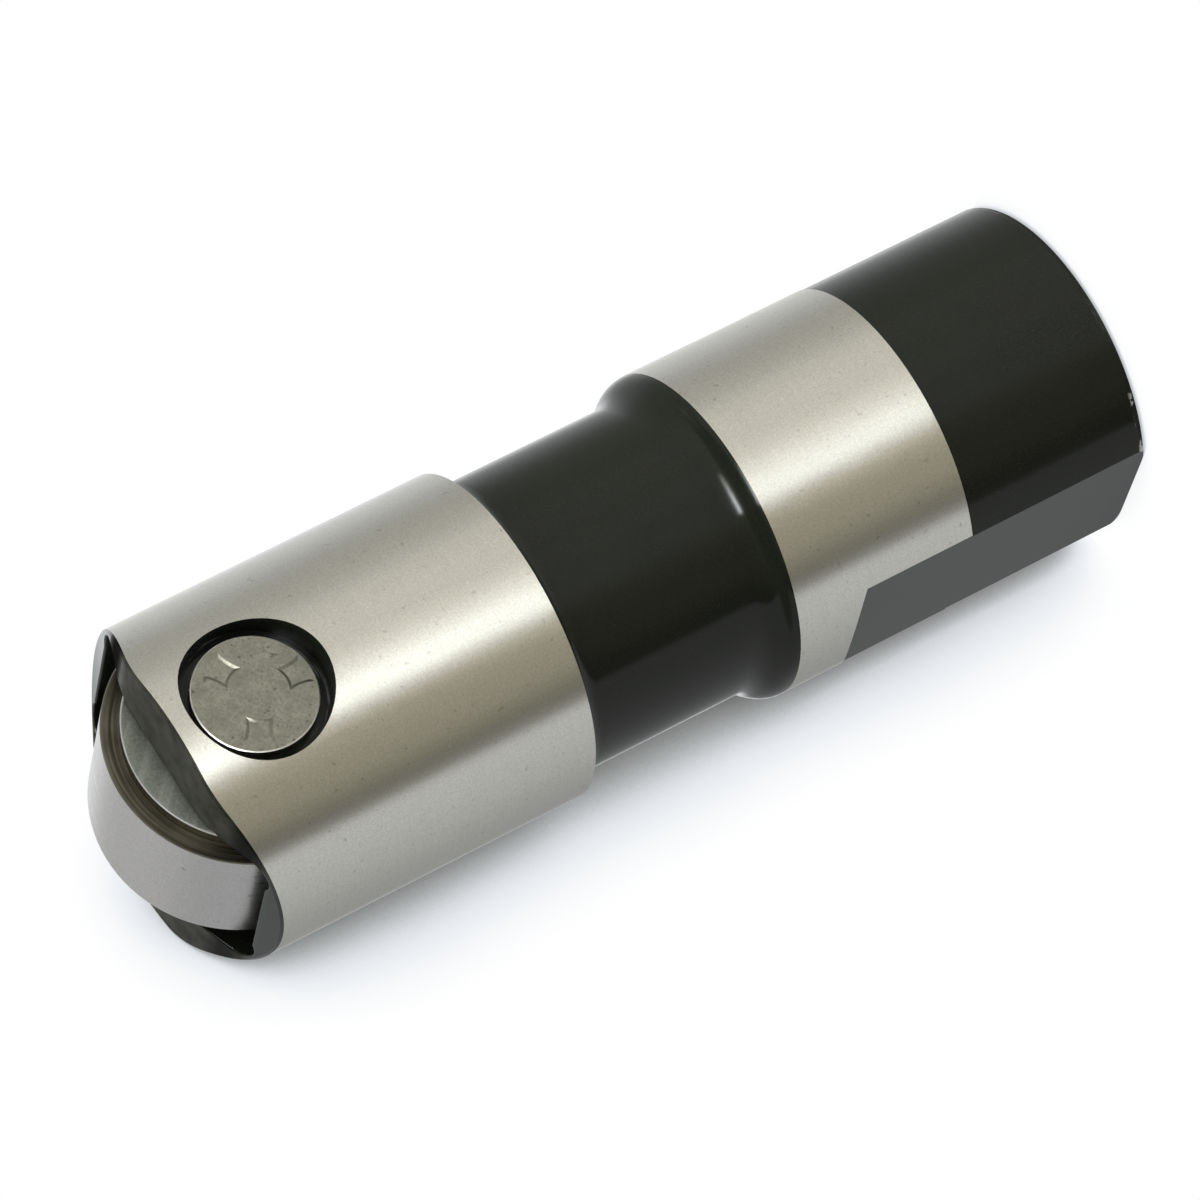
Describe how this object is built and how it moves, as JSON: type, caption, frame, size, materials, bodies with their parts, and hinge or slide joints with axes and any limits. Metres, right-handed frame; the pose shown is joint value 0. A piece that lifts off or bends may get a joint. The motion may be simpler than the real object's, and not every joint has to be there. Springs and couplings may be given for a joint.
{
  "type": "hydraulic roller tappet",
  "caption": "Round steel roller tappet with two ground lands, a dark relieved waist, a staked cross axle with a cam roller, side flats and a sprung hydraulic plunger with a pushrod cup.",
  "frame": {"origin": "centre of the pushrod end, which it stands on", "axes": "+Z along the body from the pushrod end to the cam roller, Y along the roller's axle, X across the two flats"},
  "size_m": [0.0214, 0.0214, 0.0667],
  "materials": {
    "body_steel": "ground lands, black oxide elsewhere",
    "roller_steel": "fine ground",
    "washer_steel": "satin",
    "pin_steel": "satin",
    "needle_steel": "polished",
    "clip_steel": "dark spring steel",
    "plunger_steel": "fine ground",
    "valve_steel": "satin",
    "spring_steel": "satin"
  },
  "bodies": {
    "tappet": {"tappet_body": "body_steel", "axle_pin": "pin_steel", "front_thrust_washer": "washer_steel", "back_thrust_washer": "washer_steel", "retaining_clip": "clip_steel", "plunger_spring": "spring_steel"},
    "roller": {"cam_roller": "roller_steel"},
    "needle_ring": {"bearing_needle_01": "needle_steel", "bearing_needle_02": "needle_steel", "bearing_needle_03": "needle_steel", "bearing_needle_04": "needle_steel", "bearing_needle_05": "needle_steel", "bearing_needle_06": "needle_steel", "bearing_needle_07": "needle_steel", "bearing_needle_08": "needle_steel", "bearing_needle_09": "needle_steel", "bearing_needle_10": "needle_steel", "bearing_needle_11": "needle_steel", "bearing_needle_12": "needle_steel", "bearing_needle_13": "needle_steel", "bearing_needle_14": "needle_steel", "bearing_needle_15": "needle_steel", "bearing_needle_16": "needle_steel", "bearing_needle_17": "needle_steel"},
    "plunger_set": {"plunger": "plunger_steel", "pushrod_seat": "plunger_steel", "metering_disc": "plunger_steel", "check_valve_cage": "valve_steel", "check_spring": "spring_steel"},
    "ball": {"check_ball": "valve_steel"}
  },
  "joints": [
    {"name": "roller_spin", "type": "hinge", "parent": "tappet", "child": "roller", "pos_m": [0, 0, 0.0581], "axis": [0, 1, 0], "continuous": true},
    {"name": "needle_orbit", "type": "hinge", "parent": "tappet", "child": "needle_ring", "pos_m": [0, 0, 0.0581], "axis": [0, 1, 0], "continuous": true},
    {"name": "plunger_slide", "type": "slide", "parent": "tappet", "child": "plunger_set", "axis": [0, 0, 1], "range_m": [0, 0.0048], "stiffness_N_per_m": 1500, "springref_m": -0.004, "deforming": ["plunger_spring"]},
    {"name": "ball_lift", "type": "slide", "parent": "plunger_set", "child": "ball", "axis": [0, 0, 1], "range_m": [0, 0.0006], "stiffness_N_per_m": 60, "springref_m": -0.0008, "deforming": ["check_spring"]}
  ],
  "couplings": [
    {"joint": "needle_orbit", "follows": "roller_spin", "ratio": 0.58874}
  ]
}
